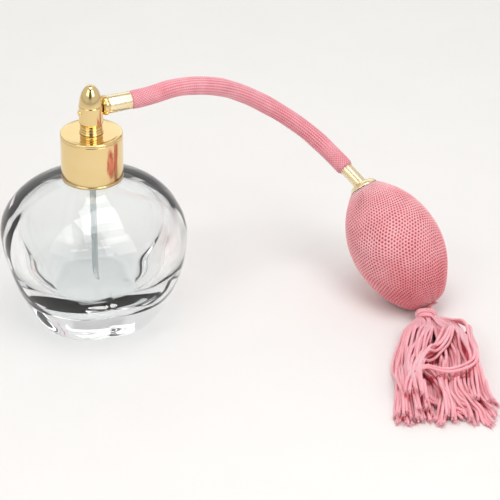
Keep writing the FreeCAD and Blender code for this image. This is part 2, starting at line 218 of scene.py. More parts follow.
def rows_round(line, around, *radii):
    """Rows of points round a line, for each of the radii: a number or one for every point."""
    _, side, up = frames(line)
    turn = full_turn(around)[None, :, None]
    spoke = np.cos(turn) * side[:, None] + np.sin(turn) * up[:, None]
    return [line[:, None] + spoke * np.atleast_3d(radius) for radius in radii]


def bend(start, corner, end, t):
    """The curve from start to end that leaves and arrives towards its corner."""
    return (1 - t) ** 2 * start + 2 * t * (1 - t) * corner + t * t * end


def smoothstep(x, low, high):
    t = np.clip((x - low) / (high - low), 0, 1)
    return t * t * (3 - 2 * t)


def ring_faces(rows, around, loop=False):
    """Quads between rows of points, each row closed on itself."""
    i = np.arange(rows if loop else rows - 1)[:, None]
    j = np.arange(around)[None, :]
    k = (i + 1) % rows
    n = (j + 1) % around
    quads = [i * around + j, i * around + n, k * around + n, k * around + j]
    return np.stack(quads, -1).reshape(-1, 4)


class Shape:
    """Points and faces that are collected into one mesh, in millimetres."""

    def __init__(self):
        self.points, self.faces, self.values, self.count = [], [], {}, 0

    def add(self, points, faces, **values):
        self.points.append(points)
        self.faces += (faces + self.count).tolist()
        for name, value in values.items():
            self.values.setdefault(name, []).append(value)
        self.count += len(points)

    def add_loop(self, rows, **values):
        """Rows of points (rows, around, 3), the last of them joined to the first."""
        self.add(rows.reshape(-1, 3), ring_faces(*rows.shape[:2], loop=True), **values)

    def add_tube(self, rows, tips=None, **values):
        """Rows of points (rows, around, 3), with a fan of faces from each end row to a tip.

        Without tips a fan meets in the middle of its row, and a tip of None leaves its end open.
        """
        n, around = rows.shape[:2]
        first, tip = self.count, self.count + n * around
        fans, extra = [], []
        for row, at in zip((0, n - 1), tips or (rows[0].mean(0), rows[-1].mean(0))):
            if at is not None:
                edge = first + row * around
                fans += [[edge + j, edge + (j + 1) % around, tip] for j in range(around)]
                extra.append(at)
                tip += 1
        for name, value in values.items():
            value = np.broadcast_to(value, (n, around)).reshape(-1)
            values[name] = np.r_[value, value[0], value[-1]]
        self.add(np.vstack([rows.reshape(-1, 3), *extra]), ring_faces(n, around), **values)
        self.faces += fans

    def piece(self, name, sharp=None):
        """The mesh object. Edges that turn by more than sharp degrees stay crisp."""
        mesh = bpy.data.meshes.new(name)
        mesh.from_pydata((np.vstack(self.points) * MM).tolist(), [], self.faces)
        bm = bmesh.new()
        bm.from_mesh(mesh)
        bmesh.ops.recalc_face_normals(bm, faces=bm.faces)
        for f in bm.faces:
            f.smooth = True
        if sharp is not None:
            limit = math.radians(sharp)
            for e in bm.edges:
                e.smooth = e.calc_face_angle(0.0) < limit
        bm.to_mesh(mesh)
        bm.free()
        for key, value in self.values.items():
            layer = mesh.attributes.new(key, "FLOAT", "POINT")
            layer.data.foreach_set("value", np.concatenate(value).astype(np.float32))
        obj = bpy.data.objects.new(name, mesh)
        bpy.context.scene.collection.objects.link(obj)
        return obj


def rounded(corners, steps=5):
    """A profile from (radius, height, rounding) corners, each rounded by that much."""
    out = []
    for i, (r, z, q) in enumerate(corners):
        here = np.array((r, z), float)
        before = np.array(corners[i - 1][:2], float)
        after = np.array(corners[(i + 1) % len(corners)][:2], float)
        if q <= 0:
            out.append(tuple(here))
            continue
        d0, d1 = before - here, after - here
        q0 = min(q, np.linalg.norm(d0) * 0.49)
        q1 = min(q, np.linalg.norm(d1) * 0.49)
        a, b = here + unit(d0) * q0, here + unit(d1) * q1
        for t in np.linspace(0, 1, steps):
            out.append(tuple(bend(a, here, b, t)))
    return out


def about(origin, direction, turn, r, z):
    """Points at angles, radii and heights about an axis."""
    matrix = Vector((0, 0, 1)).rotation_difference(Vector(direction)).to_matrix()
    points = np.stack([r * np.cos(turn), r * np.sin(turn), z], -1)
    return points @ np.array(matrix).T + np.array(origin, float)


def lathe(shape, profile, around=144, origin=(0, 0, 0), direction=(0, 0, 1), change=None):
    """Turns a profile of (radius, height) about an axis.

    A profile that reaches the axis closes there and is open at any other end. One that doesn't
    joins its last point to its first. change makes a new radius from radius, height and angle.
    """
    profile = np.array(profile, float)
    r = np.repeat(profile[:, :1], around, axis=1)
    z = np.repeat(profile[:, 1:2], around, axis=1)
    turn = np.broadcast_to(full_turn(around), r.shape)
    if change:
        r = change(r, z, turn)
    rows = about(origin, direction, turn, r, z)
    closed = profile[[0, -1], 0] < 1e-6
    if not closed.any():
        shape.add_loop(rows)
        return
    tips = [rows[end].mean(0) if shut else None for end, shut in zip((0, -1), closed)]
    shape.add_tube(rows[int(closed[0]) : len(rows) - int(closed[1])], tips)


def add_cord(shape, line, radius, plies, pitch, around, taper=(1.0, 1.0), start=0.0, thin=1.0):
    """A twisted cord of a few plies along a line.

    taper scales its radius from end to end, and thin at every point.
    """
    s = along(line)
    twist = full_turn(around)[None, :] - 2 * np.pi * s[:, None] / pitch
    wave = np.abs(np.cos(0.5 * plies * twist + start))
    size = np.interp(s / s[-1], [0, 1], taper) * thin
    r = radius * size[:, None] * (0.74 + 0.30 * wave**0.8)
    # lift follows the plies' wave: painted shade in the grooves between the plies, painted
    # highlight on their crests
    shape.add_tube(*rows_round(line, around, r), lift=wave)


def finish_piece(shape, name, material, body, node, sharp=None):
    """A piece of the visual model, which rides on a body and stands for a CAD node."""
    obj = shape.piece(name, sharp)
    obj.data.materials.append(material)
    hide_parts(node)
    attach(obj, body)
    return obj


# ---- materials ----


def colour(red, green, blue):
    """A linear colour from 0 to 255 display values."""
    out = []
    for v in (red, green, blue):
        v /= 255
        out.append(v / 12.92 if v <= 0.04045 else ((v + 0.055) / 1.055) ** 2.4)
    return (*out, 1.0)


class Nodes:
    """Short calls that build a node tree."""

    def __init__(self, owner):
        owner.use_nodes = True
        self.tree = owner.node_tree
        self.tree.nodes.clear()

    def node(self, kind, inputs=None, **settings):
        made = self.tree.nodes.new("ShaderNode" + kind)
        for key, value in settings.items():
            setattr(made, key, value)
        for key, value in (inputs or {}).items():
            self.put(made, key, value)
        return made

    def put(self, node, key, value):
        if isinstance(value, bpy.types.NodeSocket):
            self.tree.links.new(value, node.inputs[key])
        else:
            node.inputs[key].default_value = value

    def noise(self, scale, detail=3.0, rough=0.55):
        place = self.node("TexCoord").outputs["Object"]
        inputs = {"Vector": place, "Scale": scale, "Detail": detail, "Roughness": rough}
        return self.node("TexNoise", inputs).outputs["Fac"]

    def ramp(self, value, *stops):
        made = self.node("ValToRGB", {"Fac": value})
        while len(made.color_ramp.elements) < len(stops):
            made.color_ramp.elements.new(0.5)
        for element, (at, shade) in zip(made.color_ramp.elements, stops):
            element.position = at
            element.color = shade
        return made.outputs["Color"]

    def math(self, kind, a, b):
        return self.node("Math", {0: a, 1: b}, operation=kind).outputs[0]

    def range(self, value, a, b, low, high, kind="LINEAR"):
        inputs = {0: value, 1: a, 2: b, 3: low, 4: high}
        return self.node("MapRange", inputs, interpolation_type=kind).outputs[0]

    def value(self, name):
        return self.node("Attribute", attribute_name=name).outputs["Fac"]


class Look(Nodes):
    """A node material on a Principled shader."""

    def __init__(self, name):
        self.material = bpy.data.materials.new(name)
        super().__init__(self.material)
        self.out = self.node("OutputMaterial")
        self.shader = self.node("BsdfPrincipled")
        self.put(self.out, "Surface", self.shader.outputs[0])

    def set(self, **values):
        for key, value in values.items():
            self.put(self.shader, key.replace("_", " "), value)

    def bump(self, height, strength, distance):
        made = self.node("Bump", {"Height": height, "Strength": strength, "Distance": distance})
        self.put(self.shader, "Normal", made.outputs[0])


def surface(name, tone, grain, relief, **settings):
    """A material with a clouded colour, a grain in its roughness and a fine relief.

    Each of the three starts with its noise: scale, detail and roughness. tone then has two stops of
    colour, grain the noise's span and the roughness at both ends of it, and relief the strength and
    distance of the bump.
    """
    look = Look(name)
    look.set(
        Base_Color=look.ramp(look.noise(*tone[0]), *tone[1:]),
        Roughness=look.range(look.noise(*grain[0]), *grain[1:]),
        **settings,
    )
    look.bump(look.noise(*relief[0]), *relief[1:])
    return look.material


def rubber(name, dark, light):
    return surface(
        name,
        ((70.0, 3.0), (0.3, dark), (0.75, light)),
        ((850.0, 4.0, 0.6), 0.3, 0.7, 0.55, 0.75),
        ((850.0, 4.0, 0.6), 0.25, 0.0001),
        Sheen_Weight=0.15,
    )


def glass_clear():
    """Clear glass that lets most of a shadow's light through."""
    look = Look("glass_clear")
    look.set(
        Base_Color=colour(250, 252, 252),
        Roughness=look.range(look.noise(420.0, 3.0), 0.45, 0.8, 0.0, 0.02),
        IOR=1.5,
        Transmission_Weight=1.0,
    )
    look.bump(look.noise(38.0, 1.5, 0.4), 0.12, 0.0009)
    ray = look.node("LightPath").outputs["Is Shadow Ray"]
    through = look.node("BsdfTransparent", {"Color": (0.9, 0.92, 0.93, 1.0)})
    mixed = look.node("MixShader", {0: look.math("MULTIPLY", ray, 0.9)})
    look.put(mixed, 1, look.shader.outputs[0])
    look.put(mixed, 2, through.outputs[0])
    look.put(look.out, "Surface", mixed.outputs[0])
    return look.material


def yarn(name, crevice_shade, mid, light):
    """Satin yarn coloured by lift, which is 0 down between the yarns and 1 on top of them: the ramp
    paints shade into the crevices and a highlight on the tops.
    """
    look = Look(name)
    hair = look.noise(2400.0, 3.0, 0.6)
    patch = look.noise(120.0, 2.0)
    level = look.math("ADD", look.value("lift"), look.range(patch, 0.3, 0.7, -0.10, 0.10))
    level = look.math("ADD", level, look.range(hair, 0.3, 0.7, -0.13, 0.13))
    look.set(
        Base_Color=look.ramp(level, (0.05, crevice_shade), (0.5, mid), (1.0, light)),
        Roughness=look.range(hair, 0.2, 0.8, 0.5, 0.75),
        Subsurface_Weight=0.3,
        Subsurface_Radius=(1.0, 0.25, 0.25),
        Subsurface_Scale=0.0012,
        Sheen_Weight=0.35,
        Sheen_Roughness=0.45,
        Sheen_Tint=(1.0, 0.86, 0.87, 1.0),
    )
    look.bump(hair, 0.35, 0.00015)
    return look.material


GOLD = surface(
    "gold_polished",
    ((55.0, 2.0), (0.3, colour(237, 212, 158)), (0.75, colour(231, 202, 142))),
    ((900.0, 4.0, 0.6), 0.3, 0.75, 0.05, 0.13),
    ((2600.0, 2.0), 0.05, 0.00004),
    Metallic=1.0,
)
# the drawn tubes and the washer are softer than the polished pieces, and their paler colour is a
# painted highlight
SATIN_PAINTED_PALE = surface(
    "gold_satin_painted_pale",
    ((70.0, 2.0), (0.3, colour(250, 233, 196)), (0.75, colour(244, 225, 182))),
    ((1300.0, 4.0, 0.6), 0.3, 0.75, 0.24, 0.30),
    ((70.0, 2.0), 0.05, 0.00004),
    Metallic=1.0,
)
GLASS = glass_clear()
WHITE = surface(
    "plastic_white",
    ((60.0,), (0.3, colour(236, 235, 228)), (0.8, colour(226, 224, 214))),
    ((700.0, 3.0), 0.3, 0.8, 0.38, 0.55),
    ((700.0, 3.0), 0.15, 0.00008),
    Subsurface_Weight=0.1,
    Subsurface_Scale=0.002,
)
CLEAR = surface(
    "plastic_clear",
    ((90.0,), (0.3, colour(236, 240, 240)), (0.8, colour(224, 230, 232))),
    ((500.0,), 0.3, 0.8, 0.12, 0.3),
    ((240.0,), 0.1, 0.0001),
    IOR=1.45,
    Transmission_Weight=0.75,
)
FOAM = rubber("gasket_foam", colour(222, 220, 210), colour(234, 232, 224))
LATEX = rubber("rubber_inner", colour(150, 52, 56), colour(178, 74, 76))
STEEL = surface(
    "steel_ball",
    ((200.0,), (0.3, colour(214, 214, 216)), (0.8, colour(196, 197, 200))),
    ((1500.0, 3.0), 0.3, 0.8, 0.08, 0.2),
    ((1500.0, 3.0), 0.05, 0.00003),
    Metallic=1.0,
)
# each yarn's first colour is painted shade for its crevices and its last a painted highlight for
# its tops
BRAID = yarn("braid_pink", colour(176, 60, 72), colour(222, 132, 143), colour(246, 188, 197))
NET = yarn("net_pink", colour(178, 50, 58), colour(222, 124, 132), colour(250, 182, 188))
CORD = yarn("tassel_pink", colour(222, 90, 104), colour(244, 162, 173), colour(255, 206, 213))


# ---- camera, stage and light ----


def add_camera():
    data = bpy.data.cameras.new("camera")
    data.lens = 144.0
    data.sensor_width = 36.0
    data.clip_start = 0.01
    camera = bpy.data.objects.new("camera", data)
    tilt = Matrix.Rotation(math.radians(90.0 - CAMERA_DOWN), 4, "X")
    roll = Matrix.Rotation(math.radians(CAMERA_ROLL), 4, "Z")
    camera.matrix_world = Matrix.Translation(CAMERA_AT) @ tilt @ roll
    bpy.context.scene.collection.objects.link(camera)
    bpy.context.scene.camera = camera


def add_floor():
    shape = Shape()
    lathe(shape, [(0, 0), (800, 0), (2500, 0), (4000, 0)], around=96)
    look = Look("floor_paper")
    grain = look.noise(25.0, 5.0)
    look.set(
        Base_Color=look.ramp(grain, (0.2, colour(234, 232, 230)), (0.8, colour(237, 235, 233))),
        Roughness=0.75,
    )
    look.bump(look.noise(900.0), 0.05, 0.0002)
    floor = shape.piece("floor")
    floor.data.materials.append(look.material)


def add_softbox(name, place, size, power, shade=(1, 1, 1)):
    data = bpy.data.lights.new(name, "AREA")
    data.shape = "RECTANGLE"
    data.size, data.size_y = size
    data.energy = power
    data.color = shade
    lamp = bpy.data.objects.new(name, data)
    towards = Vector((0.05, 0.0, 0.04)) - Vector(place)
    lamp.location = place
    lamp.rotation_euler = towards.to_track_quat("-Z", "Y").to_euler()
    lamp.visible_camera = False
    bpy.context.scene.collection.objects.link(lamp)


def add_light():
    world = bpy.data.worlds.new("studio")
    sky = Nodes(world)
    place = sky.node("TexCoord").outputs["Generated"]
    x, y, z = sky.node("SeparateXYZ", {0: place}).outputs
    # walls that are bright at the sides, behind and below, with a dark gap in front
    walls = [
        (sky.math("ABSOLUTE", x, 0.5), 0.12, 0.34, 0.10, 0.74),
        (y, 0.10, 0.60, 0.10, 0.55),
        (z, 0.30, 0.10, 0.10, 0.60),
    ]
    strength = 0.0
    for wall in walls:
        strength = sky.math("MAXIMUM", strength, sky.range(*wall, kind="SMOOTHSTEP"))
    glow = sky.node("Background", {"Color": (1.0, 0.995, 0.985, 1), "Strength": strength})
    sky.node("OutputWorld", {"Surface": glow.outputs[0]})
    bpy.context.scene.world = world
    add_softbox("key", (-0.38, -0.55, 0.60), (0.5, 0.5), 1.0, (1.0, 0.985, 0.96))
    add_softbox("fill", (0.46, -0.52, 0.58), (0.4, 0.5), 1.7)
    add_softbox("back", (0.0, 1.0, 0.60), (1.1, 0.7), 1.6)
    add_softbox("top", (0.1, -0.1, 1.0), (0.6, 0.5), 3.7)
    view = bpy.context.scene.view_settings
    view.view_transform = "Standard"
    view.look = "None"


add_camera()
add_floor()
add_light()


# ---- hose ----


def route_line():
    """The hose's centre line in metres, read from the NURBS spline of its route."""
    curve = bpy.data.curves.new("hose_route", "CURVE")
    curve.dimensions = "3D"
    spline = curve.splines.new("NURBS")
    spline.points.add(len(HOSE_ROUTE) - 1)
    for point, place in zip(spline.points, HOSE_ROUTE):
        point.co = (*place, 1.0)
    spline.order_u = 3
    spline.use_endpoint_u = True
    spline.resolution_u = 48
    holder = bpy.data.objects.new("hose_route", curve)
    mesh = bpy.data.meshes.new_from_object(holder)
    line = np.array([tuple(v.co) for v in mesh.vertices])
    bpy.data.meshes.remove(mesh)
    bpy.data.objects.remove(holder)
    bpy.data.curves.remove(curve)
    return line


HOSE_LINE = route_line()


def braid_relief(turn, s, total):
    """Height of the braid's surface, and how far up from crevice to yarn that is, 0 to 1, which
    paints shade into the crevices.

    Columns of slanted floats make ribs along the hose. Close to its ends they open into diamonds.
    """
    ends = np.maximum(1 - smoothstep(s, 5, 20), smoothstep(s, total - 16, total - 5))[:, None]
    wander = 0.10 * np.sin(s / 11.0) + 0.05 * np.sin(s / 4.3 + 1.0)
    column = BRAID_RIBS * turn[None, :] / (2 * np.pi) + wander[:, None]
    across = column - np.floor(column) - 0.5
    slant = np.where(np.floor(column) % 2 < 1, 0.6, -0.6)
    beat = 0.5 + 0.5 * np.cos(2 * np.pi * (s[:, None] / BRAID_TICK + slant * across))
    rib = np.sqrt(np.clip(1 - (1.9 * across) ** 2, 0, 1))
    ribbed = rib * (BRAID_RISE - 0.11 * (1 - beat))
    twist = np.tan(np.radians(BRAID_LAY)) * s / HOSE_R
    a = BRAID_RIBS * (turn[None, :] + twist[:, None]) / (2 * np.pi)
    b = BRAID_RIBS * (turn[None, :] - twist[:, None]) / (2 * np.pi)
    ia, ib = np.floor(a), np.floor(b)
    over = (ia + ib) % 2 < 1
    wide = np.where(over, a - ia, b - ib) - 0.5
    long = np.where(over, b - ib, a - ia) - 0.5
    floats = BRAID_RISE - 0.15 * (1 - np.cos(np.pi * long))
    diamond = np.sqrt(np.clip(1 - (1.9 * wide) ** 2, 0, 1)) * floats
    height = ribbed * (1 - ends) + diamond * ends
    return height, np.clip(height / BRAID_RISE, 0, 1) ** 1.2


def add_sleeve_frays(shape, line):
    """Cut yarns that stand out of the braid's end, round the gold stem."""
    _, side, up = frames(line)
    end, out = line[-1], unit(line[-1] - line[-2])
    for k in range(SLEEVE_FRAYS):
        angle = 2 * np.pi * (k + RNG.uniform(-0.3, 0.3)) / SLEEVE_FRAYS
        ray = np.cos(angle) * side[-1] + np.sin(angle) * up[-1]
        length = RNG.uniform(0.6, 1.9)
        t = np.linspace(0, 1, 6)[:, None]
        splay = RNG.uniform(-0.25, 0.25)
        path = end + out * (t * length - 0.8) + ray * (3.35 - 0.35 * t + splay * t * t)
        path = path + np.cross(out, ray) * RNG.uniform(-0.5, 0.5) * t * t
        add_cord(shape, path, 0.17, 2, 1.1, 6, taper=(1.0, 0.35))


def make_hose():
    line = resample(HOSE_LINE / MM, BRAID_STEP)
    s = along(line)
    inside = TUBE_R + 0.02
    height, lift = braid_relief(full_turn(BRAID_AROUND), s, s[-1])
    wobble = 0.05 * np.sin(s / 5.1) + 0.04 * np.sin(s / 2.3 + 1.0)
    ease = 1 - 0.5 * np.exp(-s / 0.5) - 0.55 * np.exp(-(s[-1] - s) / 0.35)
    radius = (HOSE_R - 0.25 + wobble)[:, None] + height
    radius = inside + (radius - inside) * ease[:, None]
    outer, inner = rows_round(line, BRAID_AROUND, radius, inside)
    some = np.r_[np.arange(0, len(line) - 1, 8), len(line) - 1]
    # the sleeve's inside gets lift 0, the deepest painted shade
    lift = np.concatenate([lift, np.zeros((len(some), BRAID_AROUND))])
    shape = Shape()
    shape.add_loop(np.concatenate([outer, inner[some][::-1]]), lift=lift.reshape(-1))
    add_sleeve_frays(shape, line)
    hose = finish_piece(shape, "hose_braided_sleeve", BRAID, "head", "hose_braid")

    shape = Shape()
    outer, bore = rows_round(resample(HOSE_LINE / MM, 0.8), 48, TUBE_R, TUBE_BORE_R)
    shape.add_loop(np.concatenate([outer, bore[::-1]]))
    tube = finish_piece(
        shape, "hose_rubber_tube", LATEX, "head", "hose_tube", sharp=40
    )


make_hose()


# ---- glass bottle ----


def lobed(radius, groove, turn):
    """Radius at an angle, pulled in between the lobes."""
    wave = np.sqrt(np.cos(LOBES / 2 * (turn - math.radians(LOBE_ANGLE))) ** 2 + 0.0006)
    return radius * (1 - groove * np.clip(1 - wave, 0, 1) ** 1.3)


def thread_rise(z, turn):
    """How far the screw thread stands out of the neck there."""
    rise = np.zeros_like(z)
    for k in range(3):
        t = turn + 2 * np.pi * k
        middle = THREAD_START + THREAD_PITCH * t / (2 * np.pi)
        run = THREAD_TURNS * 2 * np.pi
        ends = smoothstep(t, 0, 0.25) * (1 - smoothstep(t, run - 0.25, run))
        ridge = 1 - smoothstep(np.abs(z - middle), 0.35, 0.8)
        rise = np.maximum(rise, ridge * ends * (THREAD_R - NECK_R))
    return rise


def make_bottle():
    around = 288
    outer = np.vstack([BASE_LEVELS, spline_through(BOTTLE_LEVELS, 130)])
    neck = [(z, NECK_R, 0) for z in np.arange(66.3, 78.4, 0.22)]
    top = NECK_TOP
    lip = [
        (top - 0.35, 8.93, 0), (top - 0.1, 8.72, 0), (top, 8.45, 0),
        (top, 8.0, 0), (top - 0.1, 7.65, 0), (top - 0.4, 7.42, 0),
    ]
    bore = [(z, NECK_BORE_R, 0) for z in np.arange(78.0, 64.4, -1.0)]
    walls = spline_through(CAVITY_LEVELS[3:], 110)[::-1]
    rows = np.vstack([outer, neck, lip, bore, walls, CAVITY_LEVELS[2::-1]])
    turn = full_turn(around)[None, :]
    z = np.repeat(rows[:, :1], around, axis=1)
    r = lobed(rows[:, 1:2], rows[:, 2:3], turn)
    threaded = slice(len(outer), len(outer) + len(neck))
    r[threaded] += thread_rise(z[threaded], np.broadcast_to(turn, z[threaded].shape))
    points = np.stack([r * np.cos(turn), r * np.sin(turn), z], -1)
    shape = Shape()
    shape.add_tube(points[1:-1], [(0, 0, rows[0, 0]), (0, 0, rows[-1, 0])])
    finish_piece(shape, "bottle_glass", GLASS, "bottle", "glass_bottle")


make_bottle()


# ---- gold parts ----


def gold_piece(name, body, node, profile, look=GOLD, **turning):
    shape = Shape()
    lathe(shape, profile, **turning)
    finish_piece(shape, name, look, body, node, sharp=CREASE)


def make_collar():
    r, low, top = COLLAR_R, COLLAR_BOTTOM, COLLAR_TOP
    inside = r - COLLAR_WALL
    profile = rounded([
        (inside, low, 0.1),
        (r - 0.1, low, 0.15),
        (r + 0.08, low + 0.25, 0.15),
        (r + 0.08, low + 0.85, 0.15),
        (r - 0.14, low + 1.12, 0.12),
        (r, low + 1.4, 0.1),
        (r, top - 1.55, 0.1),
        (r - 0.14, top - 1.3, 0.12),
        (r + 0.02, top - 1.05, 0.12),
        (r + 0.02, top - 0.45, 0.2),
        (r - 0.25, top - 0.1, 0.2),
        (r - 0.75, top, 0.15),
        (r - 1.0, top - 0.12, 0.15),
        (r - 1.35, top - 0.12, 0.1),
        (r - 1.9, top, 0.2),
        (JOURNAL_R + 0.1, top, 0.1),
        (JOURNAL_R + 0.1, top - COLLAR_WALL, 0.05),
        (inside, top - COLLAR_WALL, 0.3),
    ])
    gold_piece("collar_gold_shell", "collar", "collar_shell", profile, around=192)


def make_head():
    top, stem, base = COLLAR_TOP, STEM_R, DOME_BASE
    profile = rounded([
        (2.92, 81.62, 0.0),
        (JOURNAL_R, 81.62, 0.1),
        (JOURNAL_R, top + 0.06, 0.0),
        (stem + 0.3, top + 0.06, 0.12),
        (stem + 0.3, top + 0.5, 0.2),
        (stem, top + 0.8, 0.12),
        (stem, top + 1.45, 0.15),
        (stem - 0.3, top + 1.72, 0.16),
        (stem, top + 2.0, 0.15),
        (stem, top + 2.7, 0.15),
        (stem - 0.3, top + 2.97, 0.16),
        (stem, top + 3.24, 0.15),
        (stem, STEM_TOP - 0.1, 0.15),
        (HEAD_R, STEM_TOP + 0.3, 0.3),
        (HEAD_R, base - 0.35, 0.15),
        (HEAD_R - 0.22, base - 0.03, 0.1),
        (3.2, base - 0.03, 0.0),
        (3.2, base - 1.0, 0.0),
        (2.92, base - 1.0, 0.0),
    ])
    gold_piece("head_turned_body", "head", "head_body", profile, around=160)
    foot = [
        (0.0, base + 0.2), (3.0, base + 0.2), (3.1, base + 0.02),
        (DOME_R - 0.17, base + 0.02), (DOME_R - 0.06, base + 0.06), (DOME_R, base + 0.16),
    ]
    side = [(DOME_R, base + 0.5), (4.35, 98.7), (3.55, 101.2), (2.35, 103.2), (1.2, 104.2)]
    side = spline_through([*side, (0.5, DOME_TOP - 0.04)], 40)
    dome = np.vstack([foot, side, (0.0, DOME_TOP)])
    gold_piece("head_bullet_dome", "head", "head_dome", dome, around=160)


def make_arm():
    arm = dict(origin=Vector((0, 0, ARM_Z)), direction=ARM, around=128)
    ring = rounded([
        (1.3, 4.5, 0), (3.0, 4.5, 0), (3.7, 5.05, 0.3), (4.0, 5.45, 0.3),
        (4.0, 6.35, 0.25), (3.72, 6.8, 0.15), (1.3, 6.8, 0),
    ])
    gold_piece("arm_root_ring", "head", "arm_ring", ring, **arm)
    ferrule = rounded([
        (TUBE_R + 0.1, 6.86, 0.0),
        (FERRULE_R - 0.25, 6.86, 0.12),
        (FERRULE_R, 7.2, 0.2),
        (FERRULE_R, 16.5, 0.2),
        (FERRULE_R - 0.2, 16.75, 0.12),
        (TUBE_R + 0.1, 16.75, 0.0),
    ])
    gold_piece("arm_ferrule", "head", "hose_ferrule", ferrule, SATIN_PAINTED_PALE, **arm)
    jet = rounded([
        (0.25, 3.0, 0), (1.2, 3.0, 0), (1.2, 4.95, 0.1),
        (0.98, 5.35, 0.12), (0.7, 5.35, 0.05), (0.25, 4.7, 0.05),
    ])
    arm = dict(origin=Vector((0, 0, NOZZLE_Z)), direction=-ARM, around=64)
    gold_piece("spray_nozzle", "head", "nozzle_jet", jet, **arm)


def node_span(node, origin, direction):
    """The least and greatest distance of a CAD node along a line from its origin."""
    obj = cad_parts[node]
    co = np.empty(len(obj.data.vertices) * 3, np.float32)
    obj.data.vertices.foreach_get("co", co)
    t = (co.reshape(-1, 3) / MM - np.array(origin)) @ np.array(direction.normalized())
    return float(t.min()), float(t.max())


def make_bulb_metal():
    low, high = node_span("bulb_stem", CUP_RIM, STEM_DIR)
    r = STEM_TUBE_R
    stem = rounded([
        (1.7, low, 0), (r - 0.15, low, 0.1), (r, low + 0.3, 0.1),
        (r, high - 0.3, 0.1), (r - 0.15, high, 0.1), (1.7, high, 0),
    ])
    line = dict(origin=CUP_RIM, direction=STEM_DIR, around=128)
    gold_piece("bulb_stem_tube", "head", "bulb_stem", stem, SATIN_PAINTED_PALE, **line)
    lip = [
        (CUP_R - 0.5, -27.98), (CUP_R - 0.1, -27.95),
        (CUP_R + 0.08, -28.1), (CUP_R + 0.1, -28.3),
    ]
    outer = [(CUP_R + 0.05, -28.5), (5.2, -29.75), (4.0, -30.45), (2.75, -30.85)]
    inner = [(2.75, -30.45), (4.0, -30.05), (4.9, -29.5), (CUP_R - 0.45, -28.45)]
    cup = np.vstack([lip, spline_through(outer, 16), spline_through(inner, 16)])
    line = dict(origin=BULB_MID, direction=BULB_DIR)
    gold_piece("bulb_cup_washer", "head", "bulb_cup", cup, SATIN_PAINTED_PALE, **line)


make_collar()
make_head()
make_arm()
make_bulb_metal()


# ---- squeeze bulb ----


def bulb_profile():
    """(distance along the axis, radius) of the net's outside, from under the cup to the tail."""
    s = np.linspace(-27.9, 25.0, 260)
    r = np.sqrt(BULB_ARC_R**2 - s**2) - (BULB_ARC_R - BULB_R)
    t = np.linspace(0, 1, 40)[1:, None]
    tail = bend(np.array((25.0, r[-1])), np.array((27.75, 7.1)), np.array((28.2, 3.1)), t)
    under_cup = [(-27.86, 5.0), (-27.87, 5.5), (-27.88, 6.1)]
    hem = [(28.35, 2.6), (28.5, 2.0), (28.55, 1.3)]
    return np.vstack([under_cup, np.stack([s, r], 1), tail, hem])


PROFILE = bulb_profile()
PROFILE_AT = along(PROFILE)
# how often each fold comes round the gathered tail, and its phase
FOLDS = [(9, 1.1), (13, 4.0), (19, 2.2), (26, 0.4)]
# rings of each hole of the net, from the top of its ribs down into the rubber and under the ribs:
# size, height, and lift for the colour, which drops down the hole as painted shade
NET_LEVELS = [
    (1.0, 1.0, 1.0), (0.72, 0.80, 0.85), (0.42, 0.40, 0.40), (0.36, -0.1, 0.0), (1.0, -0.1, 0.0),
]


def on_profile(v):
    """Distance along the axis and radius at a distance along the profile."""
    return [np.interp(v, PROFILE_AT, PROFILE[:, k]) for k in (0, 1)]


def bulb_point(turn, v, height):
    """The net's surface at an angle and a distance along its profile, moved out by height."""
    free = smoothstep(v, 2.0, 9.0) * smoothstep(PROFILE_AT[-1] - v, 3.0, 9.0)
    turn = turn + free * (0.030 * np.sin(2 * turn + 0.23 * v) + 0.012 * np.sin(7 * turn - 0.5 * v))
    v = v + free * (0.45 * np.sin(3 * turn + 0.11 * v + 1.0) + 0.2 * np.sin(8 * turn + 0.4 * v))
    s, r = on_profile(v)
    (s_after, r_after), (s_before, r_before) = on_profile(v + 0.05), on_profile(v - 0.05)
    ds, dr = s_after - s_before, r_after - r_before
    size = np.hypot(ds, dr) + 1e-9
    wave = sum(np.sin(k * turn + p + 0.05 * v) for k, p in FOLDS) / len(FOLDS)
    tail = smoothstep(s, 13.0, 26.0) * np.clip(r / 7.0, 0, 1)
    mouth = smoothstep(-s, 24.5, 27.5)
    lumps = 0.10 * np.sin(3 * turn + 0.11 * v) + 0.08 * np.sin(5 * turn - 0.17 * v + 2.0)
    fold = (0.30 * wave + 0.08) * tail + 0.06 * mouth * np.sin(31 * turn) + lumps * (1 - tail)
    out = height + fold - 0.12
    r = r + out * ds / size
    s = s - out * dr / size
    return about(BULB_MID, BULB_DIR, turn, r, s)


def hole_rim():
    """A hexagon's corners and the middles of its sides, in cell widths and side lengths."""
    corner = np.array([(0.5, 0.5), (0, 1), (-0.5, 0.5), (-0.5, -0.5), (0, -1), (0.5, -0.5)])
    return np.stack([corner, (corner + np.roll(corner, -1, axis=0)) / 2], 1).reshape(-1, 2)


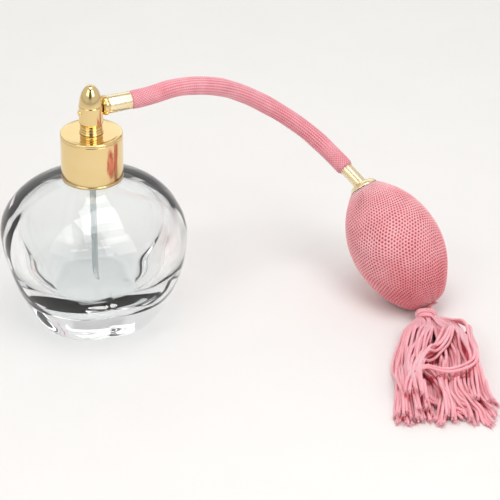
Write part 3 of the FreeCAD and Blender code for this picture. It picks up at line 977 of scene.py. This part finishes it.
def make_net():
    total = PROFILE_AT[-1]
    rows = int(total / NET_ROW)
    row = total / rows
    side = row * 2 / 3
    wide = 2 * np.pi / NET_CELLS
    rim = hole_rim()
    rise = np.array([1.0, 0.80] * 6)
    k = np.arange(1, rows)[:, None]
    centre_turn = ((np.arange(NET_CELLS) + 0.5 * (k % 2)) * wide).reshape(-1)
    centre_v = np.repeat(k * row, NET_CELLS)
    n = len(centre_turn)
    stray = RNG.uniform(-0.035, 0.035, (n, 2))
    rings, lifts = [], []
    for scale, high, lift in NET_LEVELS:
        turn = centre_turn[:, None] + rim[None, :, 0] * scale * wide
        v = centre_v[:, None] + rim[None, :, 1] * scale * side
        if scale < 1:
            turn = turn + stray[:, :1] * wide
            v = v + stray[:, 1:] * side
        v = np.clip(v, 0.0, total)
        s, r = on_profile(v)
        # shallower where the cells get narrow, at the mouth and at the tail
        fine = np.clip(r * wide, 0.35, 1.0)
        fine = fine * (1 - 0.8 * smoothstep(-s, 26.3, 27.3))
        fine = fine * (1 - 0.8 * smoothstep(v, total - 5.0, total - 3.0))
        up = high * (rise if high > 0 else 1.0) - 1.0
        rings.append(bulb_point(turn, v, up * NET_DEEP * fine))
        # darker towards the tail, which hangs lowest: painted shade on the bulb's underside
        tail_shade = smoothstep(v, 0.45 * total, 0.88 * total)
        lift = lift * (rise if lift == 1.0 else 1.0)
        lifts.append(1 - (1 - lift) * fine**2 - 0.34 * tail_shade)
    levels, count = len(NET_LEVELS), len(rim)
    a = np.arange(n * levels * count).reshape(n, levels, count)
    b = np.roll(a, -1, axis=2)
    quads = np.vstack([
        np.stack([a[:, k], b[:, k], b[:, k + 1], a[:, k + 1]], -1).reshape(-1, 4)
        for k in range(levels - 1)
    ])
    # holes that share a rib share its points
    flat = np.stack(rings, 1).reshape(-1, 3)
    keys = np.round(flat / WELD).astype(np.int64)
    _, first, inverse = np.unique(keys, axis=0, return_index=True, return_inverse=True)
    shape = Shape()
    lift = np.stack(lifts, 1).reshape(-1)[first]
    shape.add(flat[first], inverse.reshape(-1)[quads], lift=lift)
    add_frill(shape)
    finish_piece(shape, "bulb_knitted_net", NET, "head", "bulb_net")


def add_frill(shape):
    """The net's gathered hem, flaring out past the tie at the tail."""
    turn = full_turn(220)
    t = np.linspace(0, 1, 12)[:, None]
    wave = np.sin(11 * turn + 1) * 0.5 + np.sin(17 * turn + 2.1) * 0.35 + np.sin(29 * turn) * 0.2
    r = 1.6 + t * (1.5 + 0.3 * np.sin(7 * turn)) + 0.1 * np.sin(60 * turn) * t
    s = 28.5 + 0.35 * t + wave * 0.4 * t
    sheet, under = [about(BULB_MID, BULB_DIR, turn, r, s + thick) for thick in (0.0, 0.28)]
    lift = 0.55 + 0.4 * np.sin(2 * np.pi * t * 3) * np.sin(60 * turn)
    lift = np.concatenate([lift, lift[::-1]])
    shape.add_loop(np.concatenate([sheet, under[::-1]]), lift=lift.reshape(-1))


def make_rubber():
    keep = PROFILE[(PROFILE[:, 0] > -27.4) & (PROFILE[:, 0] < 27.9)][::4]
    outer = np.stack([keep[:, 1] - NET_DEEP, keep[:, 0]], 1)
    inner = outer[::-1] - np.array((RUBBER_WALL, 0.0))
    inner = inner[(inner[:, 0] > 2.9) & (np.abs(inner[:, 1]) < 24)]

    def seam(r, z, turn):
        half = turn % np.pi
        ridge = np.exp(-((np.minimum(half, np.pi - half) * r / 0.35) ** 2))
        return r + 0.06 * ridge - 0.12 - 0.35 * smoothstep(z, 15.0, 27.0)

    shape = Shape()
    rows = np.vstack([outer, inner])
    lathe(shape, rows, origin=BULB_MID, direction=BULB_DIR, change=seam)
    finish_piece(shape, "bulb_rubber_body", LATEX, "head", "bulb_rubber")


make_net()
make_rubber()


# ---- tassel ----

# how locks of strands lie on the table, from the knot to their ends: strands, width at the start,
# middle and end, and the lock's own line seen from above
LOWER_LOCKS = [
    (2, 0.8, 3.0, 3.0, [(135.6, -6), (129.5, -22), (126.6, -36), (125.6, -48), (124.5, -61),
        (122.6, -76)]),
    (2, 0.8, 3.0, 3.4, [(136.4, -6), (132.0, -22), (129.0, -36), (127.3, -50), (126.2, -62),
        (127.0, -77.5)]),
    (3, 0.9, 3.6, 4.6, [(137.0, -6), (134.0, -22), (129.0, -38), (127.5, -52), (131.0, -65),
        (132.8, -76)]),
    (4, 0.9, 3.4, 5.0, [(137.6, -6), (136.0, -22), (130.0, -38), (129.0, -51), (133.7, -60.6),
        (140.3, -66.5), (146.0, -71.5), (148.5, -75)]),
    (4, 0.9, 3.4, 4.0, [(138.0, -6), (138.0, -20), (135.0, -34), (135.8, -45), (140.2, -54),
        (140.9, -64), (138.2, -78)]),
    (4, 0.9, 3.6, 4.4, [(138.6, -6), (141.0, -20), (142.5, -32), (142.0, -43), (140.9, -54),
        (141.9, -64), (142.8, -76)]),
    (4, 0.9, 3.4, 4.4, [(139.2, -6), (144.0, -20), (147.6, -32), (147.3, -43), (145.4, -51),
        (146.1, -60), (150.4, -69.5), (151.5, -77)]),
    (4, 0.9, 3.4, 4.2, [(139.6, -6), (146.0, -20), (149.6, -31), (149.7, -41), (148.6, -51),
        (150.6, -61), (154.4, -69.6), (157.4, -76.5)]),
    (3, 0.8, 2.6, 3.0, [(140.0, -6), (148.0, -20), (151.6, -30), (152.8, -40), (155.7, -50.4),
        (158.0, -57), (161.0, -66)]),
    (3, 0.8, 2.6, 3.4, [(140.4, -6), (147.0, -18), (151.6, -30), (153.3, -41), (154.4, -53.6),
        (156.4, -63), (159.6, -72)]),
]
UPPER_LOCKS = [
    (3, 0.8, 2.0, 2.4, [(134.4, -6), (131.6, -10), (127.1, -20.8), (123.6, -34), (122.6, -43),
        (123.4, -50.4), (123.1, -61), (121.9, -74)]),
    (4, 0.8, 3.0, 3.2, [(135.0, -6), (133.0, -10), (128.9, -20.8), (125.9, -35.5), (124.8, -48.4),
        (125.0, -61), (125.2, -75.5)]),
    (4, 0.8, 3.2, 4.0, [(135.8, -6), (134.6, -9), (132.0, -18.6), (129.5, -30), (128.1, -42),
        (127.7, -54.6), (128.8, -76)]),
    (4, 0.8, 3.2, 4.0, [(136.8, -6), (136.6, -9), (135.3, -18.5), (132.4, -30), (130.0, -40.5),
        (129.0, -54), (131.0, -73)]),
    (3, 0.8, 2.8, 3.4, [(138.0, -6), (138.6, -10), (138.4, -16.3), (135.4, -28.5), (132.6, -40.4),
        (131.5, -52), (134.6, -72)]),
    (3, 0.8, 2.8, 3.0, [(140.6, -6), (143.2, -9), (148.9, -20), (150.2, -30.6), (151.7, -38),
        (152.6, -48), (153.0, -64)]),
    (3, 0.7, 2.0, 2.4, [(140.0, -6), (142.2, -10), (143.7, -15.5), (142.6, -25.6), (138.9, -31.7),
        (133.9, -40.4), (130.6, -50), (129.6, -66)]),
    (3, 0.7, 2.2, 2.6, [(140.6, -6), (144.0, -9), (146.5, -17), (144.6, -27.5), (139.6, -34.8),
        (135.0, -41), (131.6, -52), (132.6, -70)]),
    (3, 0.7, 2.6, 2.8, [(141.0, -6), (146.0, -8), (151.3, -17.2), (153.3, -27.8), (154.7, -35),
        (155.9, -47), (158.6, -66)]),
    (2, 0.9, 2.7, 2.8, [(141.2, -5.6), (147.0, -8.0), (151.4, -13.4), (153.6, -22.0),
        (153.6, -32.0), (154.6, -41.6), (152.8, -47.0), (148.8, -49.0), (143.4, -49.6),
        (138.0, -50.2), (132.8, -51.6), (129.4, -55.4), (127.2, -61.0), (126.2, -68.0)]),
]
# the outermost strands of the fan under the locks, on either side
LEFT_EDGE = [(134.0, -6), (127.6, -22), (123.8, -40), (123.8, -57), (122.8, -74)]
RIGHT_EDGE = [(141.0, -6), (151.5, -22), (152.5, -39), (157.0, -55), (159.5, -70)]


class Pile:
    """The height of what already lies on the table, so that the next strand rests on it."""

    def __init__(self, low, high, cell):
        self.low, self.cell = np.array(low, float), cell
        size = np.ceil((np.array(high) - self.low) / cell).astype(int)
        self.top = np.zeros(size)

    def index(self, xy, shift=0):
        """The cell under each point, moved by a number of cells."""
        at = np.round((xy - self.low) / self.cell).astype(int) + shift
        return tuple(np.moveaxis(np.clip(at, 0, np.array(self.top.shape) - 1), -1, 0))

    def cells(self, xy, radius):
        """The cells that a round strand covers at each of its points, and its height over them."""
        reach = int(np.ceil(radius / self.cell))
        step = np.arange(-reach, reach + 1)
        dx, dy = np.meshgrid(step, step, indexing="ij")
        dome = radius**2 - (dx**2 + dy**2) * self.cell**2
        keep = dome > 0
        at = self.index(xy[:, None], np.stack([dx[keep], dy[keep]], 1))
        return at, np.sqrt(dome[keep])[None]

    def rest(self, xy, radius):
        at, dome = self.cells(xy, radius)
        return (self.top[at] + dome).max(1)

    def add(self, xyz, radius):
        at, dome = self.cells(xyz[:, :2], radius)
        np.maximum.at(self.top, at, xyz[:, 2:3] + 0.8 * dome)


def blur(values, reach):
    """A running mean that weighs near values more."""
    kernel = np.exp(-np.linspace(-2, 2, 2 * reach + 1) ** 2)
    kernel /= kernel.sum()
    return np.convolve(np.pad(values, reach, mode="edge"), kernel, mode="valid")


def highest(values, reach):
    """The highest of the values within reach of each."""
    padded = np.pad(values, reach, mode="edge")
    return np.max([padded[k : k + len(values)] for k in range(2 * reach + 1)], axis=0)


def lay_strand(shape, pile, guide, level, bridge):
    """One cord, from inside the knot at a level of 0 to 1, down onto what lies there."""
    line = spline_through(guide, 260)
    line = resample(np.c_[line, np.zeros(len(line))], 0.4)
    s = along(line)
    tangent, _, _ = frames(line + np.array((0, 0, 1e-9)))
    across = np.stack([-tangent[:, 1], tangent[:, 0]], 1)
    sway = sum(
        RNG.uniform(0.05, 0.38)
        * np.sin(2 * np.pi * s / RNG.uniform(22, 50) + RNG.uniform(0, 6.28))
        for _ in range(3)
    )
    xy = line[:, :2] + across * (sway * smoothstep(s, 4, 24))[:, None]
    thin = 0.50 + 0.50 * smoothstep(s, 1.0, 15.0)
    lie = STRAND_R * 0.86
    z = pile.rest(xy, lie)
    z = blur(blur(highest(z, bridge // 2), bridge), bridge // 2)
    # it leaves the knot at its own level, no higher than the knot until well clear of it
    out_z = 1.2 + 3.0 * level
    z = np.minimum(z, 4.9 + 4.8 * smoothstep(s, 5.0, 24.0))
    z = out_z + (z - out_z) * smoothstep(s, 2.5, 16.0)
    z = np.maximum(z, STRAND_R * 0.92)
    path = np.c_[xy, z]
    pile.add(path[20:], lie)
    pitch, start = RNG.uniform(2.3, 3.0), RNG.uniform(0, 6.28)
    add_cord(shape, path, STRAND_R, 3, pitch, 12, start=start, thin=thin)
    add_fray(shape, path)


def add_fray(shape, path):
    """Fine fibres where a strand's end comes untwisted."""
    end = path[-1]
    out = unit(path[-1] - path[-4])
    for _ in range(STRAND_FRAYS):
        aim = unit(out + RNG.normal(0, 0.28, 3) * np.array((1, 1, 0.5)))
        length = RNG.uniform(1.0, 2.8)
        t = np.linspace(0, 1, 6)[:, None]
        curl = RNG.normal(0, 0.5, 3) * np.array((1, 1, 0.3))
        fibre = end + RNG.normal(0, 0.22, 3) - out * 0.6 + aim * t * length + curl * t * t
        fibre[:, 2] = np.maximum(fibre[:, 2], 0.16)
        add_cord(shape, fibre, 0.13, 2, 1.5, 5, taper=(1.0, 0.5))


def shade_depth(shape, pile):
    """Lowers the lift of what lies under other strands: painted shade beneath the strands above."""
    points = np.vstack(shape.points)
    under = smoothstep(pile.top[pile.index(points[:, :2])] - points[:, 2], 0.5, 3.2)
    lift = np.concatenate(shape.values["lift"])
    shape.values["lift"] = [lift * (1 - 0.7 * under) - 0.12 * under]


def make_skirt():
    shape = Shape()
    pile = Pile((112, -92), (170, 2), 0.3)
    plan = []
    left, right = spline_through(LEFT_EDGE, 6), spline_through(RIGHT_EDGE, 6)
    for k in range(FAN_STRANDS):
        u = (k + 0.5) / FAN_STRANDS
        guide = left * (1 - u) + right * u
        guide[1:, 0] += RNG.uniform(-0.8, 0.8, 5)
        guide[-1, 1] += RNG.uniform(-3.5, 1.0)
        plan.append((guide, 0))
    for layer, locks in ((1, LOWER_LOCKS), (2, UPPER_LOCKS)):
        for count, start, middle, end, line in locks:
            base = np.array(line, float)
            share = np.linspace(0, 1, len(base))
            wide = np.interp(share, [0, 0.45, 1], [start, middle, end])
            step = np.gradient(base, axis=0)
            step /= np.linalg.norm(step, axis=1)[:, None]
            across = np.stack([-step[:, 1], step[:, 0]], 1)
            for k in RNG.permutation(count):
                offset = (k + 0.5) / count - 0.5
                guide = base + across * (offset * wide)[:, None]
                guide[-1] += np.array((0.0, RNG.uniform(-1.5, 2.5)))
                plan.append((guide, layer))
    for k, (guide, layer) in enumerate(plan):
        # every strand starts side by side with the others in the knot's round end
        level = (k + 0.5) / len(plan)
        reach = 3.3 * math.sqrt(1 - (2 * level - 1) ** 2 * 0.85)
        aside = np.clip((guide[0, 0] - KNOT_MID[0] - 0.2) * 1.1, -1, 1)
        guide[0] = (KNOT_MID[0] + aside * reach, -4.6)
        # the last two cross the rest, so they need a longer way up and down
        bridge = 30 if k >= len(plan) - 2 else (6, 6, 14)[layer]
        lay_strand(shape, pile, guide, level, bridge)
    shade_depth(shape, pile)
    finish_piece(shape, "tassel_strands", CORD, "tassel", "tassel_skirt")


def make_knot():
    shape = Shape()
    mid, half = np.array(KNOT_MID), np.array(KNOT_HALF)

    def sink(y):
        return 0.9 * smoothstep(-y / half[1], 0.1, 1.0) + 1.0 * smoothstep(y / half[1], -0.2, 1.0)

    def slim(y):
        return 1 - 0.3 * smoothstep(y / half[1], 0.0, 1.0)

    def wrap(t, y, grow):
        """A point on the knot's outside at an angle and a distance along it."""
        belly = np.sqrt(np.clip(1 - (y / (half[1] * 1.35)) ** 2, 0, 1)) * grow * slim(y)
        c, s = np.cos(t), np.sin(t)
        x = (half[0] - 0.35) * belly * np.sign(c) * np.abs(c) ** 0.8
        z = (half[2] - 0.35) * belly * np.sign(s) * np.abs(s) ** 0.9
        return np.stack([mid[0] + x, mid[1] + y, np.maximum(mid[2] + z - sink(y), 0.4)], 1)

    t = np.linspace(0, 2 * np.pi * KNOT_TURNS, 90 * KNOT_TURNS)
    y = -half[1] * 0.95 + 1.9 * half[1] * t / t[-1] + 0.10 * np.sin(t * 0.5 + 1)
    add_cord(shape, wrap(t, y, 1.0), 0.37, 3, 1.9, 12)
    t = np.linspace(0, 2 * np.pi, 110)
    for phase, tilt, grow in ((0.4, 0.5, 1.07), (2.2, -0.45, 1.06), (4.0, 0.3, 1.10)):
        y = tilt * np.sin(t + phase) * half[1] * 0.8
        add_cord(shape, wrap(t, y, grow), 0.33, 3, 1.9, 12)
    core = np.linspace(0, np.pi, 26)[1:-1, None]
    turn = full_turn(64)
    back = -half[1] * 0.72 * np.cos(core) * np.ones((1, 64))
    x = (half[0] - 0.45) * np.sin(core) ** 0.5 * np.cos(turn) * slim(back)
    z = (half[2] - 0.45) * np.sin(core) ** 0.5 * np.sin(turn) * slim(back)
    z = np.maximum(mid[2] + z - sink(back), 0.3)
    shape.add_tube(np.stack([mid[0] + x, mid[1] + back, z], -1), lift=0.5)
    finish_piece(shape, "tassel_wrapped_knot", CORD, "tassel", "tassel_knot")

    shape = Shape()
    start = np.array(CORD_START)
    for side in (-0.45, 0.45):
        guide = np.array([
            start + (side * 0.5, 0.0, 0.0),
            start + (side - 0.5, -1.5, 0.15),
            start + (side - 1.3, -3.2, -0.25),
            mid + (side + 0.2, 0.9, 0.3),
        ])
        add_cord(shape, resample(spline_3d(guide, 60), 0.25), 0.42, 2, 1.8, 12)
    finish_piece(shape, "tassel_tie_cord", CORD, "tassel", "tassel_cord")


make_knot()
make_skirt()


# ---- remaining CAD nodes ----

CAD_LOOKS = [
    (FOAM, ["neck_gasket"]),
    (WHITE, ["collar_insert", "spray_core", "outlet_seat", "outlet_cage", "intake_cage"]),
    (GOLD, ["head_flange", "hose_nipple", "intake_body"]),
    (CLEAR, ["dip_tube"]),
    (STEEL, ["outlet_ball", "intake_ball"]),
]
for look, nodes in CAD_LOOKS:
    for node in nodes:
        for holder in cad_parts[node].material_slots:
            holder.material = look
